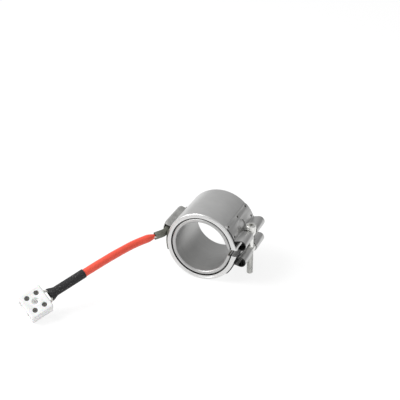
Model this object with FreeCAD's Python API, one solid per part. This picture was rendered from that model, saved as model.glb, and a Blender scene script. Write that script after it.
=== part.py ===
"""Nozzle band heater with a rolled-lug clamp, a metal exit box and a short sleeved lead.

Millimetres. The bore's axis is Y, +Z is up and the origin is the middle of the bore. The heater lies on its
side, as it was put down: on the case's lowest line, the tip of the clamp screw and an edge of the terminal
block. Angles round the band are measured from +X towards +Z, so the clamp gap is at 0 degrees.
"""
import FreeCAD, Part
import math
import os

V = FreeCAD.Vector
ORIGIN = V(0, 0, 0)
ROUND = V(0, -1, 0)          # turning about this axis carries +X towards +Z
AXIAL = V(0, 1, 0)
UP = V(0, 0, 1)

# ---- driving dimensions -------------------------------------------------------------------------------
bore_radius = 25.0
case_radius = 33.9
band_width = 56.0
clamp_gap = 6.5              # between the two ends of the band
tail_angle = 22.0            # from here to the gap the band runs straight, as rolled sheet does
sheet = 0.8                  # sheath and case
layer_clearance = 0.1

bead_radius = 1.95           # rolled edge of the sheath
bead_lip = 1.05              # how far the rolled edge turns back into the band
rim_groove = 0.5             # open joint between the sheath's bead and the case's flange
case_corner = 1.6
case_lip = 1.25
flange_step = 0.25           # fine step that rings the flange
flange_step_radius = 31.5

mica = 0.5
former = 0.8
ribbon = 0.2
ribbon_width = 1.8
ribbon_pitch = 10.0          # degrees between turns
ribbon_half_length = 20.5
return_strip_width = 1.2
layer_half_width = 24.6

lug_sheet = 0.8
lug_half_width = 26.5
lug_far_angle = 48.0
lug_corner = 4.0
lug_bend = 1.3               # middle radius where the plate leaves the case
lug_bend_start = 0.3         # how far past the start of the straight tail the bend begins
loop_sweep = 235.0
pin_x = 38.8
pin_z = 8.5
pin_radius = 4.0
pin_half_length = 12.0
pin_fit = 0.05
window_half_width = 5.75     # window through each loop, which the screw and its head stand in
window_angle = 27.0          # where the window's round end is centred
weld_radius = 1.6
weld_depth = 0.45
weld_inset = 4.0
weld_angles = (25.0, 43.0)
middle_weld_angle = 42.0

screw_radius = 2.95
screw_length = 45.0
head_radius = 5.0
head_height = 6.0
head_corner = 0.5
hex_across = 5.0
hex_depth = 3.0
thread_fit = 0.05
pin_hole_clearance = 0.35
seat_clearance = 0.4

box_angle = 163.0
box_length = 40.0
box_middle_y = -4.0
box_width = 13.0
box_top_radius = 41.4
box_corner = 3.4
box_sheet = 0.8
box_flange = 3.0
box_flange_setback = 5.0     # the flanges stop this far short of the mouth end
box_mouth_above = 3.0        # the mouth is cut from this far above the box's middle line downwards
box_mouth_height = 6.4

saddle_sheet = 0.9
saddle_start = 161.0
saddle_end = 196.0
saddle_front_y = -27.2
saddle_width = 8.5

tab_width = 3.0
tab_thickness = 0.6
tab_angle_offset = 4.0
tab_y = -6.0
tab_top_radius = 38.2
tab_slot_clearance = 0.5
inner_wire_radius = 0.8
inner_wire_below_tab_top = 1.2
inner_wire_spread = 1.5      # from the ferrule's middle line

ferrule_width = 7.6
ferrule_thickness = 5.0
ferrule_corner = 1.6
ferrule_wall = 0.6
ferrule_root_y = -18.0
ferrule_root_angle = 165.0
ferrule_bend_y = -24.8
ferrule_bend_angle = 170.0
ferrule_mouth = V(-43.8, -33.4, 5.6)

sleeve_radius = 3.7
lead_route = [
    ferrule_mouth,
    V(-53.85, -45.8, 4.32),
    V(-62.9, -65.1, 2.8),
    V(-75.1, -89.8, -1.2),
]
shrink_wall = 0.5
shrink_fit = 0.05
shrink_length = 36.5
flare_length = 7.0
flare_width = 12.6
flare_thickness = 7.6
wire_radius = 1.1
wire_start = 1.6             # from the lead's middle line, at the end of the red sleeve
wire_first_run = 2.0
wire_exit = 4.4              # and at the mouth of the shrink sleeve
wire_gap = 3.5               # bare stretch between the shrink sleeve and the block

block_length = 22.0          # along the wires
block_width = 24.5
block_height = 12.5
block_corner = 2.0
block_edge = 0.8
block_x = -107.9
block_y = -145.1
block_heading = -123.9
block_pitch = 16.7
block_roll = -35.1
pole_spacing = 13.0
screw_spacing = 9.6
tunnel_depth = 6.2           # from the top face to the middle of the wire tunnels
tunnel = 5.2
insert_clearance = 0.1
insert_length = 17.0
insert_bore = 1.7
fixing_hole = 2.1
fixing_recess = 3.4
fixing_recess_depth = 1.0
block_screw_radius = 1.45
block_screw_fit = 0.05
block_head_radius = 2.0
block_head_height = 1.8
block_head_below_top = 1.1
supply_screw_lift = 0.65     # the screws of the free side are backed out of the bore
block_slot_angles = {(-1, -1): 20.0, (-1, 1): 62.0, (1, -1): 48.0, (1, 1): 5.0}
block_screw_well = 2.3
slot_width = 0.6
slot_depth = 0.7
wire_reach = 8.0             # how far each lead wire goes into its insert

# ---- sizes that follow --------------------------------------------------------------------------------
half_width = band_width / 2
half_gap = clamp_gap / 2
floor_z = -case_radius
sheath_radius = bore_radius + sheet
bead_middle = bore_radius + bead_radius
bead_start = half_width - bead_radius
bead_outer = bore_radius + 2 * bead_radius
lip_radius = bead_outer + rim_groove
case_inner = case_radius - sheet
mica_inner_radius = sheath_radius + layer_clearance
ribbon_inner_radius = mica_inner_radius + mica + layer_clearance
former_radius = ribbon_inner_radius + ribbon + 2 * layer_clearance
ribbon_outer_radius = former_radius + former + layer_clearance
mica_outer_radius = ribbon_outer_radius + ribbon + layer_clearance
blanket_radius = mica_outer_radius + mica + layer_clearance
loop_inner = pin_radius + pin_fit
loop_middle = loop_inner + lug_sheet / 2
loop_outer = loop_inner + lug_sheet
head_underside = floor_z + screw_length
insert_size = tunnel - 2 * insert_clearance


def turned(shape, angle):
    """A copy carried round the band by angle."""
    copy = shape.copy()
    copy.rotate(ORIGIN, ROUND, angle)
    return copy


def mirrored_down(shape):
    """The copy on the lower side of the clamp."""
    return shape.mirror(ORIGIN, UP)


def cylinder(radius, length, base, axis):
    return Part.makeCylinder(radius, length, base, axis)


def box_between(low, high):
    return Part.makeBox(high.x - low.x, high.y - low.y, high.z - low.z, low)


def outline(steps):
    """A closed wire in the plane z = 0: each step is a corner, or a (through, corner) pair for an arc."""
    edges = []
    first = steps[0][1] if isinstance(steps[0][0], tuple) else steps[0]
    here = V(*first, 0)
    for step in steps[1:] + [steps[0]]:
        if isinstance(step[0], tuple):
            through = V(*step[0], 0)
            there = V(*step[1], 0)
            edges.append(Part.Arc(here, through, there).toShape())
        else:
            there = V(*step, 0)
            edges.append(Part.LineSegment(here, there).toShape())
        here = there
    return Part.Wire(edges)


def rectangle(inner, outer, half):
    return outline([(inner, -half), (inner, half), (outer, half), (outer, -half)])


def band_from(section, end_clearance=0.0):
    """A section of radius and width carried round the band, with straight tails up to the clamp gap."""
    face = turned(Part.Face(section), tail_angle)
    arc = face.revolve(ORIGIN, ROUND, 360 - 2 * tail_angle)
    along = V(math.sin(math.radians(tail_angle)), 0, -math.cos(math.radians(tail_angle)))
    lowest = half_gap + end_clearance
    above_gap = box_between(V(0, -band_width, lowest), V(2 * case_radius, band_width, case_radius))
    tail = face.extrude(along * (case_radius / 2)).common(above_gap)
    return arc.fuse([tail, mirrored_down(tail)]).removeSplitter()


def at_angle(radius, angle, y):
    """The point at this radius, angle round the band and place along it."""
    turn = math.radians(angle)
    return V(radius * math.cos(turn), y, radius * math.sin(turn))


def slots_for_tabs(inner, outer):
    """Clearance slots that the element's tabs rise through."""
    slots = []
    for side in (-1, 1):
        half_y = tab_width / 2 + tab_slot_clearance
        half_t = tab_thickness / 2 + tab_slot_clearance
        slot = box_between(V(inner, tab_y - half_y, -half_t), V(outer, tab_y + half_y, half_t))
        slots.append(turned(slot, box_angle + side * tab_angle_offset))
    return slots


# ---- the band -----------------------------------------------------------------------------------------
def make_inner_sheath():
    """Bore sheet whose edges are rolled outwards into beads."""
    start = bead_start
    tip = bead_start - bead_lip
    inner_lip = bead_outer - sheet
    reach = half_width - sheet
    steps = [
        ((bead_middle, -half_width), (bore_radius, -start)),
        (bore_radius, start),
        ((bead_middle, half_width), (bead_outer, start)),
        (bead_outer, tip),
        (inner_lip, tip),
        (inner_lip, start),
        ((bead_middle, reach), (sheath_radius, start)),
        (sheath_radius, -start),
        ((bead_middle, -reach), (inner_lip, -start)),
        (inner_lip, -tip),
        (bead_outer, -tip),
        (bead_outer, -start),
    ]
    return band_from(outline(steps))


def make_outer_case():
    """Outer sheet with folded flanges, closed across both ends of the band."""
    corner = case_radius - case_corner
    side = half_width - case_corner
    inner_bend = case_corner - sheet
    diagonal = math.sqrt(0.5)
    recess = half_width - flange_step
    inside = half_width - sheet
    lip_end = half_width - case_lip - sheet
    outer_mid = (corner + case_corner * diagonal, side + case_corner * diagonal)
    inner_mid = (corner + inner_bend * diagonal, side + inner_bend * diagonal)
    steps = [
        (lip_radius, lip_end),
        (lip_radius, recess),
        (flange_step_radius - flange_step, recess),
        (flange_step_radius, half_width),
        (corner, half_width),
        (outer_mid, (case_radius, side)),
        (case_radius, -side),
        ((outer_mid[0], -outer_mid[1]), (corner, -half_width)),
        (flange_step_radius, -half_width),
        (flange_step_radius - flange_step, -recess),
        (lip_radius, -recess),
        (lip_radius, -lip_end),
        (lip_radius + sheet, -lip_end),
        (lip_radius + sheet, -inside),
        (corner, -inside),
        ((inner_mid[0], -inner_mid[1]), (case_inner, -side)),
        (case_inner, side),
        (inner_mid, (corner, inside)),
        (lip_radius + sheet, inside),
        (lip_radius + sheet, lip_end),
    ]
    case = band_from(outline(steps))
    infill = band_from(rectangle(sheath_radius, case_inner + sheet / 2, half_width - sheet / 2))
    wall = box_between(V(0, -band_width, half_gap), V(2 * case_radius, band_width, half_gap + sheet))
    end_wall = infill.common(wall)
    sheath_lips = band_from(rectangle(sheath_radius, bead_outer + layer_clearance, half_width))
    mouth = band_from(rectangle(sheath_radius + sheet, bead_outer + layer_clearance, bead_start - bead_lip))
    end_wall = end_wall.cut(sheath_lips.cut(mouth))
    case = case.fuse([end_wall, mirrored_down(end_wall)])
    return case.cut(slots_for_tabs(case_inner - 1, case_radius + 1)).removeSplitter()


def make_layer(inner, outer, half):
    """One plain layer between sheath and case."""
    return band_from(rectangle(inner, outer, half), sheet + layer_clearance)


def make_heating_ribbon():
    """Ribbon wound round the former in two halves from the exit box, joined by a strip along the rear edge."""
    half = ribbon_width / 2
    reach = ribbon_half_length
    top = ribbon_outer_radius + ribbon
    outer_run = box_between(V(ribbon_outer_radius, -reach, -half), V(top, reach, half))
    front_link = box_between(V(ribbon_inner_radius, -reach - ribbon, -half), V(top, -reach, half))
    rear_link = box_between(V(ribbon_inner_radius, reach, -half), V(top, reach + ribbon, half))
    strip_start = layer_half_width - return_strip_width
    strip_link = box_between(V(ribbon_outer_radius, reach, -half), V(top, strip_start, half))
    chord = 2 * ribbon_inner_radius * math.sin(math.radians(ribbon_pitch / 2))
    slant = math.degrees(math.atan2(chord, 2 * reach))
    pieces = []
    ends = []
    for side in (1, -1):
        start = box_angle - side * tab_angle_offset
        span = start - tail_angle if side > 0 else 360 - tail_angle - start
        last = int(span / ribbon_pitch)
        for index in range(last + 1):
            angle = start - side * index * ribbon_pitch
            pieces.append(turned(outer_run, angle))
            if index < last:
                pieces.append(turned(rear_link, angle))
            if index:
                pieces.append(turned(front_link, angle))
                run = box_between(V(ribbon_inner_radius, -reach - half / 2, -half),
                                  V(ribbon_inner_radius + ribbon, reach + half / 2, half))
                run.rotate(V(ribbon_inner_radius, 0, 0), V(1, 0, 0), side * slant)
                pieces.append(turned(run, angle + side * ribbon_pitch / 2))
        pieces.append(turned(strip_link, angle))
        ends.append(angle)
    strip = outline([(ribbon_outer_radius, strip_start), (ribbon_outer_radius, layer_half_width),
                     (top, layer_half_width), (top, strip_start)])
    pieces.append(turned(Part.Face(strip), ends[0]).revolve(ORIGIN, ROUND, ends[1] - ends[0]))
    ribbon_solid = pieces[0].fuse(pieces[1:])
    return ribbon_solid


# ---- the clamp ----------------------------------------------------------------------------------------
def lug_profile_points():
    """Centres and angles of the bend and the loop, from the tangents that join them."""
    turn = math.radians(tail_angle)
    along = V(math.sin(turn), 0, -math.cos(turn))
    outward = V(math.cos(turn), 0, math.sin(turn))
    middle = case_radius + lug_sheet / 2
    bend_start = outward * middle + along * lug_bend_start
    bend_centre = bend_start + outward * lug_bend
    to_pin = V(pin_x, 0, pin_z) - bend_centre
    heading = math.atan2(to_pin.z, to_pin.x)
    rise = heading + math.asin((loop_middle + lug_bend) / to_pin.Length)
    return along, outward, bend_start, bend_centre, math.degrees(rise)


def sheet_sector(centre, middle, start, end):
    """Bent sheet round a centre, between two angles, across the lug's width."""
    inner = middle - lug_sheet / 2
    face = Part.Face(outline([(inner, -lug_half_width), (inner, lug_half_width),
                              (inner + lug_sheet, lug_half_width), (inner + lug_sheet, -lug_half_width)]))
    sector = turned(face, start).revolve(ORIGIN, ROUND, end - start)
    sector.translate(centre)
    return sector


def flat_sheet(start, end):
    """Flat sheet between two points of its middle line, across the lug's width."""
    run = end - start
    plate = box_between(V(0, -lug_half_width, -lug_sheet / 2), V(run.Length, lug_half_width, lug_sheet / 2))
    plate.rotate(ORIGIN, ROUND, math.degrees(math.atan2(run.z, run.x)))
    plate.translate(start)
    return plate


def make_upper_lug():
    """Strap that is welded to the case, turned out from it and rolled into the pin's loop."""
    along, outward, bend_start, bend_centre, rise = lug_profile_points()
    middle = case_radius + lug_sheet / 2
    strap = sheet_sector(ORIGIN, middle, tail_angle, lug_far_angle)
    corners = [edge for edge in strap.Edges
               if edge.Length < 2 * lug_sheet
               and abs(math.degrees(math.atan2(edge.CenterOfMass.z, edge.CenterOfMass.x)) - lug_far_angle) < 1
               and abs(abs(edge.CenterOfMass.y) - lug_half_width) < lug_sheet / 4]
    strap = strap.makeFillet(lug_corner, corners)
    tangent = outward * middle
    bend_from = 180 + tail_angle
    bend_to = rise + 270
    bend = sheet_sector(bend_centre, lug_bend, bend_from, bend_to)
    bend_end = at_angle(lug_bend, bend_to, 0) + bend_centre
    pin = V(pin_x, 0, pin_z)
    loop_start = at_angle(loop_middle, rise + 90, 0) + pin
    loop = sheet_sector(pin, loop_middle, rise + 90 - loop_sweep, rise + 90)
    lug = strap.fuse([flat_sheet(tangent, bend_start), bend, flat_sheet(bend_end, loop_start), loop])
    window = cylinder(window_half_width, case_radius, ORIGIN, V(1, 0, 0))
    window.translate(V(case_radius / 2, 0, 0))
    window = turned(window, window_angle)
    slot_low = V(middle * math.cos(math.radians(window_angle)), -window_half_width, 0)
    slot = box_between(slot_low, V(2 * case_radius, window_half_width, case_radius))
    lug = lug.cut([window, slot]).removeSplitter()
    for angle, y in weld_places():
        ball_radius = (weld_radius ** 2 + weld_depth ** 2) / (2 * weld_depth)
        centre = at_angle(case_radius + lug_sheet - weld_depth + ball_radius, angle, y)
        lug = lug.cut(Part.makeSphere(ball_radius, centre))
    return lug


def weld_places():
    """Spot welds of one strap: two rows near its sides and one by the window."""
    side = lug_half_width - weld_inset
    places = [(angle, y) for angle in weld_angles for y in (-side, side)]
    places.append((middle_weld_angle, 0.0))
    return places


def make_pin(z):
    return cylinder(pin_radius, 2 * pin_half_length, V(pin_x, -pin_half_length, z), AXIAL)


def make_head_pin():
    """Upper pin, bored for the screw, with a flat seat for its head."""
    hole = cylinder(screw_radius + pin_hole_clearance, 4 * pin_radius, V(pin_x, 0, pin_z - 2 * pin_radius), UP)
    seat = cylinder(head_radius + seat_clearance, pin_radius, V(pin_x, 0, head_underside), UP)
    return make_pin(pin_z).cut([hole, seat])


def make_barrel_nut():
    """Lower pin, tapped for the screw."""
    tapped = cylinder(screw_radius + thread_fit, 4 * pin_radius, V(pin_x, 0, -pin_z - 2 * pin_radius), UP)
    return make_pin(-pin_z).cut(tapped)


def make_clamp_screw():
    """Socket-head screw that stands through both pins."""
    base = V(pin_x, 0, floor_z)
    shank = cylinder(screw_radius, screw_length, base, UP)
    shank = shank.makeChamfer(head_corner, [end_ring(shank, floor_z)])
    head = cylinder(head_radius, head_height, V(pin_x, 0, head_underside), UP)
    head = head.makeChamfer(head_corner, [end_ring(head, head_underside + head_height)])
    flat = hex_across / 2 / math.cos(math.radians(30))
    corners = [V(pin_x + flat * math.cos(math.radians(a)), flat * math.sin(math.radians(a)),
                 head_underside + head_height - hex_depth) for a in range(0, 420, 60)]
    socket = Part.Face(Part.makePolygon(corners)).extrude(UP * (2 * hex_depth))
    return shank.fuse(head).cut(socket).removeSplitter()


def end_ring(solid, z):
    """The circular edge at height z."""
    rings = [edge for edge in solid.Edges
             if abs(edge.BoundBox.ZMin - z) < 0.01 and edge.BoundBox.ZLength < 0.01]
    return rings[0]


# ---- exit box and what it covers ----------------------------------------------------------------------
def obround(length, width, low, high):
    """Round-ended prism that stands on the band's side at the box's angle."""
    half = width / 2
    straight = length / 2 - half
    middle = cylinder(half, high - low, V(low, -straight, 0), V(1, 0, 0))
    other = cylinder(half, high - low, V(low, straight, 0), V(1, 0, 0))
    core = box_between(V(low, -straight, -half), V(high, straight, half))
    prism = core.fuse([middle, other]).removeSplitter()
    prism.translate(V(0, box_middle_y, 0))
    return prism


def domed(prism, top, radius):
    """The prism with its top edge rounded over."""
    rim = [edge for edge in prism.Edges
           if abs(edge.BoundBox.XMin - top) < 0.01 and edge.BoundBox.XLength < 0.01]
    return prism.makeFillet(radius, rim)


def make_exit_box():
    """Pressed cap with side flanges, open at its front end where the lead comes out."""
    low = bore_radius
    outer = domed(obround(box_length, box_width, low, box_top_radius), box_top_radius, box_corner)
    inner_top = box_top_radius - box_sheet
    inner = domed(obround(box_length - 2 * box_sheet, box_width - 2 * box_sheet, low, inner_top),
                  inner_top, box_corner - box_sheet)
    flange = obround(box_length, box_width + 2 * box_flange, low, case_radius + box_sheet)
    front = box_middle_y - box_length / 2
    keep = box_between(V(low, front + box_flange_setback + box_width / 2, -case_radius),
                       V(2 * case_radius, case_radius, case_radius))
    flange = turned(flange.common(keep), box_angle)
    ring = cylinder(case_radius + box_sheet, 2 * band_width, V(0, -band_width, 0), AXIAL)
    flange = flange.common(ring)
    mouth = box_between(V(low, front - 1, -box_mouth_above),
                        V(case_radius + box_mouth_height, front + box_width / 2, box_width))
    cap = turned(outer, box_angle).fuse(flange)
    case_body = cylinder(case_radius, 2 * band_width, V(0, -band_width, 0), AXIAL)
    return cap.cut([turned(inner, box_angle), turned(mouth, box_angle), case_body]).removeSplitter()


def make_lead_saddle():
    """Curved strip welded to the case, which the ferrule is folded down on."""
    outer = case_radius + saddle_sheet
    back = saddle_front_y + saddle_width
    section = outline([(case_radius, saddle_front_y), (case_radius, back),
                       (outer, back), (outer, saddle_front_y)])
    return turned(Part.Face(section), saddle_start).revolve(ORIGIN, ROUND, saddle_end - saddle_start)


def make_element_tab(side):
    """Strip that carries the current from the ribbon's end up into the exit box."""
    tab = box_between(V(ribbon_outer_radius + ribbon, tab_y - tab_width / 2, -tab_thickness / 2),
                      V(tab_top_radius, tab_y + tab_width / 2, tab_thickness / 2))
    return turned(tab, box_angle + side * tab_angle_offset)


# ---- the lead -----------------------------------------------------------------------------------------
def rounded_path(points, report=None):
    """Straight runs joined by tangent arcs, each arc as large as its two runs allow."""
    edges = []
    here = points[0]
    for before, corner, after in zip(points, points[1:], points[2:]):
        back = before - corner
        on = after - corner
        turn = math.pi - back.getAngle(on)
        reach = 0.45 * min(back.Length, on.Length)
        radius = reach / math.tan(turn / 2)
        back.normalize()
        on.normalize()
        bisector = back + on
        bisector.normalize()
        start = corner + back * reach
        end = corner + on * reach
        middle = corner + bisector * (radius / math.cos(turn / 2) - radius)
        edges.append(Part.LineSegment(here, start).toShape())
        edges.append(Part.Arc(start, middle, end).toShape())
        here = end
        if report:
            print(f"{report}: turn {math.degrees(turn):.1f} degrees, radius {radius:.1f} mm")
    edges.append(Part.LineSegment(here, points[-1]).toShape())
    return Part.Wire(edges)


def tube(points, radius, report=None):
    """Round solid that follows the path."""
    path = rounded_path(points, report)
    start = Part.Wire(Part.makeCircle(radius, points[0], points[1] - points[0]).Edges)
    solid = path.makePipeShell([start], True, False)
    if report:
        expected = math.pi * radius ** 2 * path.Length
        print(f"{report}: length {path.Length:.1f} mm, volume {solid.Volume / expected:.4f} of section x length")
    return solid


def ferrule_section(width, thickness, corner, across, outward, centre):
    """Rounded rectangle with its width along `across` and its thickness along `outward`."""
    wide = width / 2 - corner
    tall = thickness / 2 - corner
    diagonal = corner * math.sqrt(0.5)
    steps = []
    for sx, sy in ((1, 1), (-1, 1), (-1, -1), (1, -1)):
        side = (sx * (wide + corner), sy * tall)
        end = (sx * wide, sy * (tall + corner))
        through = (sx * (wide + diagonal), sy * (tall + diagonal))
        steps.extend([side, (through, end)] if sx == sy else [end, (through, side)])
    wire = outline(steps)
    along = across.cross(outward)
    wire.Placement = FreeCAD.Placement(centre, FreeCAD.Rotation(across, outward, along, "XYZ"))
    return wire


def ferrule_points():
    """Root inside the box, bend on the saddle, and mouth."""
    radius = case_radius + saddle_sheet + ferrule_thickness / 2 + layer_clearance
    return [at_angle(radius, ferrule_root_angle, ferrule_root_y),
            at_angle(radius, ferrule_bend_angle, ferrule_bend_y),
            ferrule_mouth]


def make_lead_ferrule():
    """Flattened sheet ferrule that grips the lead and is turned out from the box."""
    points = ferrule_points()
    path = rounded_path(points)
    along = points[1] - points[0]
    along.normalize()
    outward = at_angle(1, ferrule_root_angle, 0)
    across = outward.cross(along)
    across.normalize()
    outward = along.cross(across)
    solids = []
    for inset in (0, ferrule_wall):
        section = ferrule_section(ferrule_width - 2 * inset, ferrule_thickness - 2 * inset,
                                  ferrule_corner - inset, across, outward, points[0])
        solids.append(path.makePipeShell([section], True, False))
    return solids[0].cut(solids[1])


def make_inner_wire(side):
    """Wire from one tab to the mouth of the ferrule inside the box."""
    start = at_angle(tab_top_radius - inner_wire_below_tab_top, box_angle + side * tab_angle_offset,
                     tab_y - tab_width / 2)
    root = ferrule_points()[0]
    tangent = at_angle(1, ferrule_root_angle + 90, 0)
    end = root + tangent * (side * inner_wire_spread)
    wire = cylinder(inner_wire_radius, (end - start).Length, start, end - start)
    return wire.cut(make_element_tab(side))


def block_placement(height):
    """Where the block's top middle is, and how it is turned."""
    return FreeCAD.Placement(V(block_x, block_y, height),
                             FreeCAD.Rotation(block_heading, block_pitch, block_roll))


def placed(shape, placement):
    copy = shape.copy()
    copy.transformShape(placement.toMatrix(), True)
    return copy


def make_block_body():
    """Two-pole ceramic block in its own frame: X along the wires, Z up, origin at the top face's middle."""
    half_l = block_length / 2
    half_w = block_width / 2
    body = box_between(V(-half_l, -half_w, -block_height), V(half_l, half_w, 0))
    body = body.makeFillet(block_corner, [e for e in body.Edges if e.BoundBox.ZLength > block_height / 2])
    rims = [e for e in body.Edges if e.BoundBox.ZLength < 0.01]
    body = body.makeChamfer(block_edge, rims)
    half_tunnel = tunnel / 2
    tools = [cylinder(fixing_hole, 2 * block_height, V(0, 0, -1.5 * block_height), UP),
             cylinder(fixing_recess, block_height, V(0, 0, -fixing_recess_depth), UP)]
    for pole in (-1, 1):
        y = pole * pole_spacing / 2
        tools.append(box_between(V(-block_length, y - half_tunnel, -tunnel_depth - half_tunnel),
                                 V(block_length, y + half_tunnel, -tunnel_depth + half_tunnel)))
        for end in (-1, 1):
            foot = V(end * screw_spacing / 2, y, -tunnel_depth)
            tools.append(cylinder(block_screw_well, block_height, foot, UP))
    return body.cut(tools).removeSplitter()


def make_insert(pole):
    """Brass tube of one pole, bored for the wires and tapped for its two screws."""
    y = pole * pole_spacing / 2
    half = insert_size / 2
    length = insert_length / 2
    bar = box_between(V(-length, y - half, -tunnel_depth - half), V(length, y + half, -tunnel_depth + half))
    bore = cylinder(insert_bore, 2 * insert_length, V(-insert_length, y, -tunnel_depth), V(1, 0, 0))
    taps = [cylinder(block_screw_radius + block_screw_fit, block_height,
                     V(end * screw_spacing / 2, y, -tunnel_depth), UP) for end in (-1, 1)]
    return bar.cut([bore] + taps)


def make_block_screw(pole, end):
    """Slotted screw that closes on the wire; those of the supply side (end 1) stand open."""
    x = end * screw_spacing / 2
    y = pole * pole_spacing / 2
    lift = supply_screw_lift if end > 0 else 0
    top = lift - block_head_below_top
    head_low = top - block_head_height
    tip = lift - tunnel_depth + wire_radius + layer_clearance
    shank = cylinder(block_screw_radius, head_low - tip, V(x, y, tip), UP)
    head = cylinder(block_head_radius, block_head_height, V(x, y, head_low), UP)
    slot = box_between(V(x - 2 * block_head_radius, y - slot_width / 2, top - slot_depth),
                       V(x + 2 * block_head_radius, y + slot_width / 2, top + slot_depth))
    slot.rotate(V(x, y, 0), UP, block_slot_angles[pole, end])
    return shank.fuse(head).removeSplitter().cut(slot)


def shrink_envelope(inset, overrun):
    """Outside of the shrink sleeve, or its inside when inset by the wall, in the block's frame."""
    end = -block_length / 2 - wire_gap
    start = end - shrink_length
    flare = end - flare_length
    radius = sleeve_radius + shrink_fit + shrink_wall - inset
    middle = V(flare, 0, -tunnel_depth)
    foot = V(start - overrun, 0, -tunnel_depth)
    barrel = cylinder(radius, shrink_length - flare_length + overrun, foot, V(1, 0, 0))
    ring = Part.Wire(Part.makeCircle(radius, middle, V(1, 0, 0)).Edges)
    oval = Part.Ellipse(ORIGIN, flare_width / 2 - inset, flare_thickness / 2 - inset).toShape()
    oval = Part.Wire([oval])
    oval.Placement = FreeCAD.Placement(V(end, 0, -tunnel_depth),
                                       FreeCAD.Rotation(V(0, 1, 0), V(0, 0, 1), V(1, 0, 0), "XYZ"))
    return barrel.fuse(Part.makeLoft([ring, oval], True)).removeSplitter()


def make_shrink_sleeve():
    """Shrink sleeve over the lead's end, pulled flat and wide where the two wires leave it."""
    return shrink_envelope(0, 0).cut(shrink_envelope(shrink_wall, 1))


def make_lead_wire(pole):
    """Bare end of one lead wire, from the sleeve into its insert."""
    end = -block_length / 2 - wire_gap
    y = pole * pole_spacing / 2
    start = end - flare_length
    points = [V(start, pole * wire_start, -tunnel_depth),
              V(start + wire_first_run, pole * wire_start, -tunnel_depth),
              V(end, pole * wire_exit, -tunnel_depth),
              V(-block_length / 2, y, -tunnel_depth),
              V(-block_length / 2 + wire_reach, y, -tunnel_depth)]
    return tube(points, wire_radius)


# ---- the object ---------------------------------------------------------------------------------------
def build():
    """Every piece by its name."""
    former_half = ribbon_half_length - layer_clearance
    upper_lug = make_upper_lug()
    blanket = make_layer(blanket_radius, case_inner - layer_clearance, layer_half_width)
    mica_outer = make_layer(mica_outer_radius, mica_outer_radius + mica, layer_half_width)
    slots = slots_for_tabs(mica_outer_radius - 1, case_radius)
    nodes = {
        "inner_sheath": make_inner_sheath(),
        "mica_inner": make_layer(mica_inner_radius, mica_inner_radius + mica, layer_half_width),
        "mica_former": make_layer(former_radius, former_radius + former, former_half),
        "heating_ribbon": make_heating_ribbon(),
        "mica_outer": mica_outer.cut(slots),
        "fibre_blanket": blanket.cut(slots),
        "outer_case": make_outer_case(),
        "upper_lug_plate": upper_lug,
        "lower_lug_plate": mirrored_down(upper_lug),
        "head_pin": make_head_pin(),
        "barrel_nut": make_barrel_nut(),
        "clamp_screw": make_clamp_screw(),
        "exit_box": make_exit_box(),
        "lead_saddle": make_lead_saddle(),
        "lead_ferrule": make_lead_ferrule(),
    }
    for number, side in ((1, -1), (2, 1)):
        nodes[f"element_tab_{number}"] = make_element_tab(side)
        nodes[f"inner_wire_{number}"] = make_inner_wire(side)

    body = make_block_body()
    low = placed(body, block_placement(0)).optimalBoundingBox().ZMin
    place = block_placement(floor_z - low)
    block = {"terminal_body": body, "shrink_sleeve": make_shrink_sleeve()}
    count = 0
    for number, pole in ((1, -1), (2, 1)):
        block[f"terminal_insert_{number}"] = make_insert(pole)
        block[f"lead_wire_{number}"] = make_lead_wire(pole)
        for end in (-1, 1):
            count += 1
            block[f"terminal_screw_{count}"] = make_block_screw(pole, end)
    for name, shape in block.items():
        nodes[name] = placed(shape, place)
    sleeve_end = place.multVec(V(-block_length / 2 - wire_gap - flare_length, 0, -tunnel_depth))
    print("block top middle", place.Base, "sleeve end", sleeve_end)
    nodes["lead_sleeve"] = tube(lead_route + [sleeve_end], sleeve_radius, "lead_sleeve")
    return nodes


def main():
    os.makedirs("parts", exist_ok=True)
    for name, shape in build().items():
        solids = shape.Solids
        print(f"{name}: {len(solids)} solid(s), valid {shape.isValid()}, volume {shape.Volume:.1f} mm3")
        solid = solids[0] if len(solids) == 1 else Part.makeCompound(solids)
        solid.exportStep(f"parts/{name}.step")


main()
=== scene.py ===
"""Looks of a clamp-on band heater: sheet-steel band, rolled-lug clamp, exit box, sleeved lead, ceramic block.

Everything is in metres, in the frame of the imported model: the bore's axis is Y, +Z is up, the clamp gap is
towards +X and the origin is the middle of the bore.
"""

import logging
import math
from dataclasses import dataclass
from enum import Enum
from typing import Callable, Protocol, Sequence

import bmesh
import bpy
from mathutils import Euler, Matrix, Vector


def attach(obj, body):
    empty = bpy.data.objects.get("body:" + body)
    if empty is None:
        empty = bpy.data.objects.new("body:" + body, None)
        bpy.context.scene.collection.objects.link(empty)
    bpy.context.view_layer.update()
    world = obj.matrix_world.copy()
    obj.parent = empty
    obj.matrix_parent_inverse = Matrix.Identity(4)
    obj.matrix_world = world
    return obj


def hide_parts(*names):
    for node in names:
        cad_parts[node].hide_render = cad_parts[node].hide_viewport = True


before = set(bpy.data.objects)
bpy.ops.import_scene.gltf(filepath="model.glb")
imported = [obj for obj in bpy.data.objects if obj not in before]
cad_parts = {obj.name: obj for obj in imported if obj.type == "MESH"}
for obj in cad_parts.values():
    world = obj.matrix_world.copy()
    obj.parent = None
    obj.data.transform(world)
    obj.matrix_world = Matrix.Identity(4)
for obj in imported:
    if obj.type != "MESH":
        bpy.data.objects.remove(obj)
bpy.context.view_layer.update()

logging.basicConfig(level=logging.INFO, format="%(message)s")
LOG = logging.getLogger("band_heater")

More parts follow.
